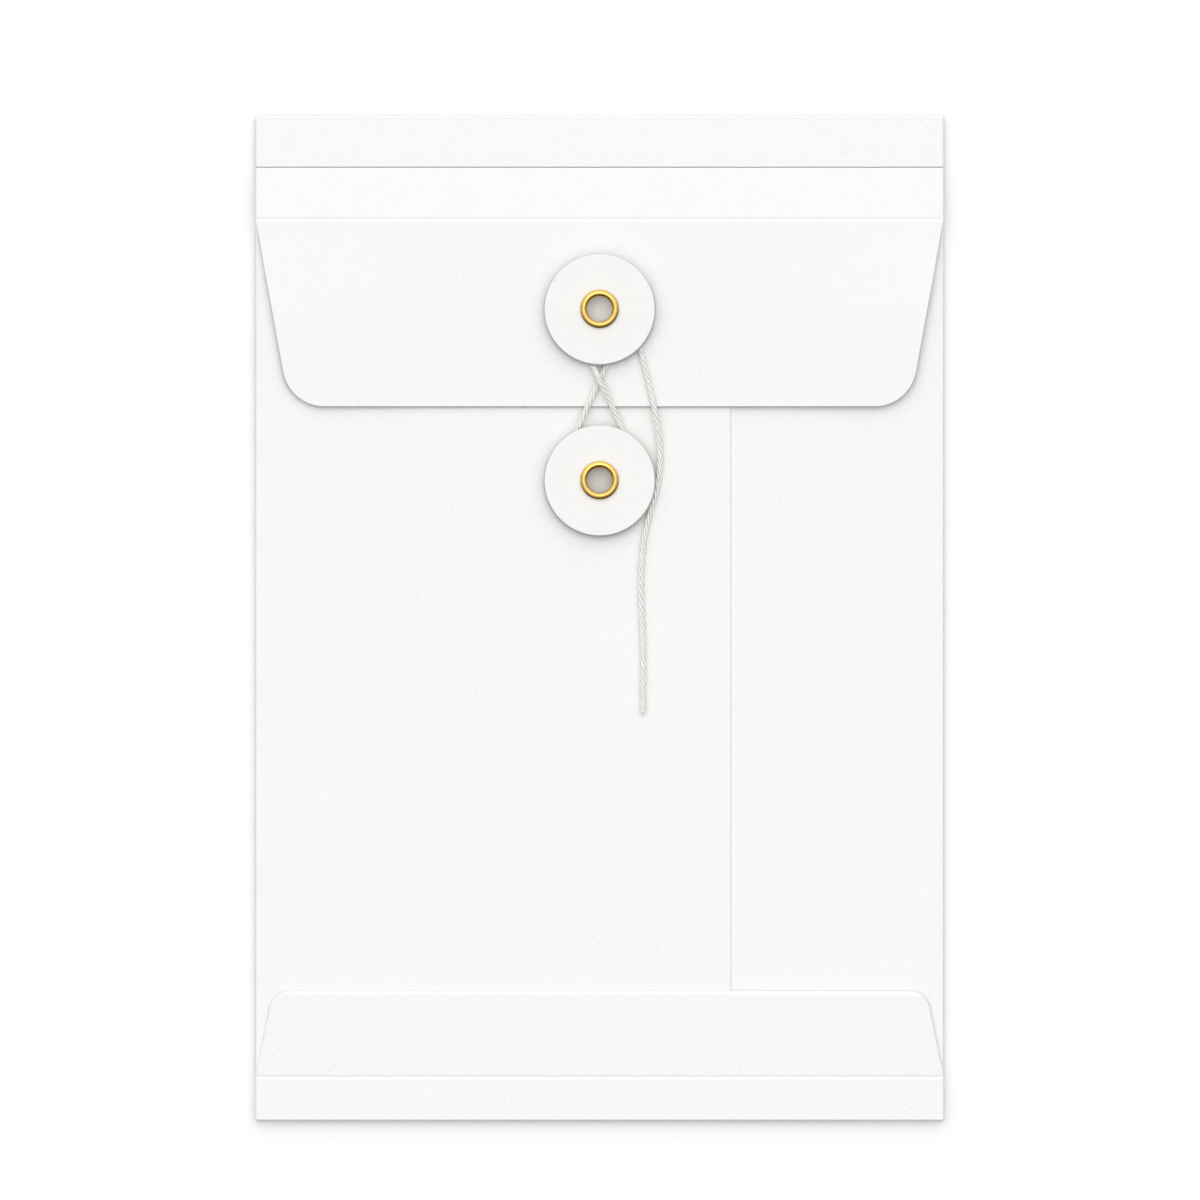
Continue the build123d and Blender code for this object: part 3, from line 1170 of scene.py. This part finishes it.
# The rolled rim: how far it sinks into the disc, its height, and the height and inset of its foot
RIM_SINK = 0.03
RIM_HEIGHT = 1.05
RIM_FOOT = 0.55
RIM_FOOT_INSET = 0.1

# Share of the rim's width inside its crest. With a peak above one, the crest is narrower than a round one
RIM_CREST = 0.46
RIM_PEAK = 1.6
RIM_STEPS = 28

# The throat is narrower than the bore, and brass down to a depth under the rim; below that the barrel's
# darker grey is painted shade
THROAT_RADIUS = BORE_RADIUS - 0.18
UNSHADED_DEPTH = 0.3

# The clinch under the paper: its height and radii, the roll at its edge, and how it opens from the bore
CLINCH_HEIGHT = 0.45
CLINCH_RADIUS = 4.3
CLINCH_INNER_RADIUS = 3.8
CLINCH_ROLL_WIDTH = 0.3
CLINCH_ROLL_HEIGHT = 0.22
CLINCH_ROLL_END = 60
CLINCH_ROLL_STEPS = 8
CLINCH_OPENING = ((0.04, 0.1), (0.15, 0.0))


def rim_roll(base, height):
    """The outline of the rolled rim, from its outer foot over a narrow crest to the bore."""
    inner = RIM_CREST * (RIM_RADIUS - THROAT_RADIUS)
    outer = RIM_RADIUS - THROAT_RADIUS - inner
    points = []
    for k in range(RIM_STEPS + 1):
        angle = math.pi * k / RIM_STEPS
        width = outer if math.cos(angle) > 0 else inner
        across = math.copysign(abs(math.cos(angle)) ** RIM_PEAK, math.cos(angle))
        points.append((THROAT_RADIUS + inner + width * across, base + height * math.sin(angle) ** RIM_PEAK))
    return points


def eyelet(name, node, body, y, paper_top):
    """Brass: a rolled rim on the disc, a barrel whose inside under the rim has painted shade, and a clinch
    turned out under the paper.
    """
    under_rim = paper_top + BUTTON_RAISE + BUTTON_THICKNESS - RIM_SINK
    painted_shade_top = under_rim - UNSHADED_DEPTH
    paper_bottom = paper_top - PAPER
    clinch = paper_bottom - CLINCH_HEIGHT
    profile = [(BARREL_RADIUS, under_rim), (RIM_RADIUS - RIM_FOOT_INSET, under_rim)]
    profile += rim_roll(under_rim + RIM_FOOT, RIM_HEIGHT - RIM_FOOT)
    profile += [(THROAT_RADIUS, z) for z in (painted_shade_top, paper_top, paper_bottom)]
    profile += [(BORE_RADIUS + out, clinch + up) for out, up in CLINCH_OPENING]
    profile += arc(
        CLINCH_RADIUS - CLINCH_ROLL_WIDTH,
        clinch + CLINCH_ROLL_HEIGHT,
        CLINCH_ROLL_WIDTH,
        CLINCH_ROLL_HEIGHT,
        -90,
        CLINCH_ROLL_END,
        CLINCH_ROLL_STEPS,
    )
    profile += [(CLINCH_INNER_RADIUS, paper_bottom), (BARREL_RADIUS, paper_bottom)]
    piece = lathe(name, profile, y, EYELET_STEPS, brass, ROUND_SHARP)
    # Below the rim the barrel gets painted shade
    piece.data.materials.append(barrel_painted_shade)
    for face in piece.data.polygons:
        if paper_bottom * MM < face.center.z < painted_shade_top * MM:
            face.material_index = 1
    settle(piece, body, node)


eyelet("upper_eyelet_brass", "upper_eyelet", "flap", UPPER_BUTTON_Y, flap_top)
eyelet("lower_eyelet_brass", "lower_eyelet", "pocket", LOWER_BUTTON_Y, front_top)


# Floor and light

# The paper's edges stand a little off the floor, as those of a real envelope do
FLOOR_Z = -0.6
FLOOR_SHADE = 0.81
FLOOR_ROUGHNESS = 0.9

# The floor's side, in metres
FLOOR_SIZE = 60

# The direction in which the light is strongest, and its shade from the opposite one (0) to that one (1)
LIGHT_FROM = (-0.03, 0.35, 0.93)
LIGHT_STRENGTH = 2.36
SKY = ((0.45, 0.01), (0.54, 0.04), (0.62, 0.14), (0.72, 0.33), (0.82, 0.48), (0.91, 0.7), (1.0, 1.0))


def add_floor():
    """A plain white floor just under the envelope."""
    material, tree, shader = new_material("floor", FLOOR_ROUGHNESS)
    shader.inputs["Base Color"].default_value = (*grey(FLOOR_SHADE), 1)
    shader.inputs["Specular IOR Level"].default_value = 0.0
    bpy.ops.mesh.primitive_plane_add(size=FLOOR_SIZE, location=(0, 0, FLOOR_Z * MM))
    floor = bpy.context.object
    floor.name = "floor"
    floor.data.materials.append(material)


def add_light():
    """Soft studio light all round, strongest from above and from the top of the picture."""
    world = bpy.data.worlds.new("studio")
    bpy.context.scene.world = world
    world.use_nodes = True
    tree = world.node_tree
    towards = tree.nodes.new("ShaderNodeVectorMath")
    towards.operation = "DOT_PRODUCT"
    towards.inputs[1].default_value = Vector(LIGHT_FROM).normalized()
    tree.links.new(tree.nodes.new("ShaderNodeTexCoord").outputs["Generated"], towards.inputs[0])
    spread = tree.nodes.new("ShaderNodeMapRange")
    spread.inputs["From Min"].default_value = -1.0
    tree.links.new(towards.outputs["Value"], spread.inputs["Value"])
    glow = ramp(tree, spread.outputs["Result"], *[(position, grey(value)) for position, value in SKY])
    background = tree.nodes["Background"]
    background.inputs["Strength"].default_value = LIGHT_STRENGTH
    tree.links.new(glow, background.inputs["Color"])


add_floor()
add_light()
bpy.context.scene.view_settings.view_transform = "Standard"
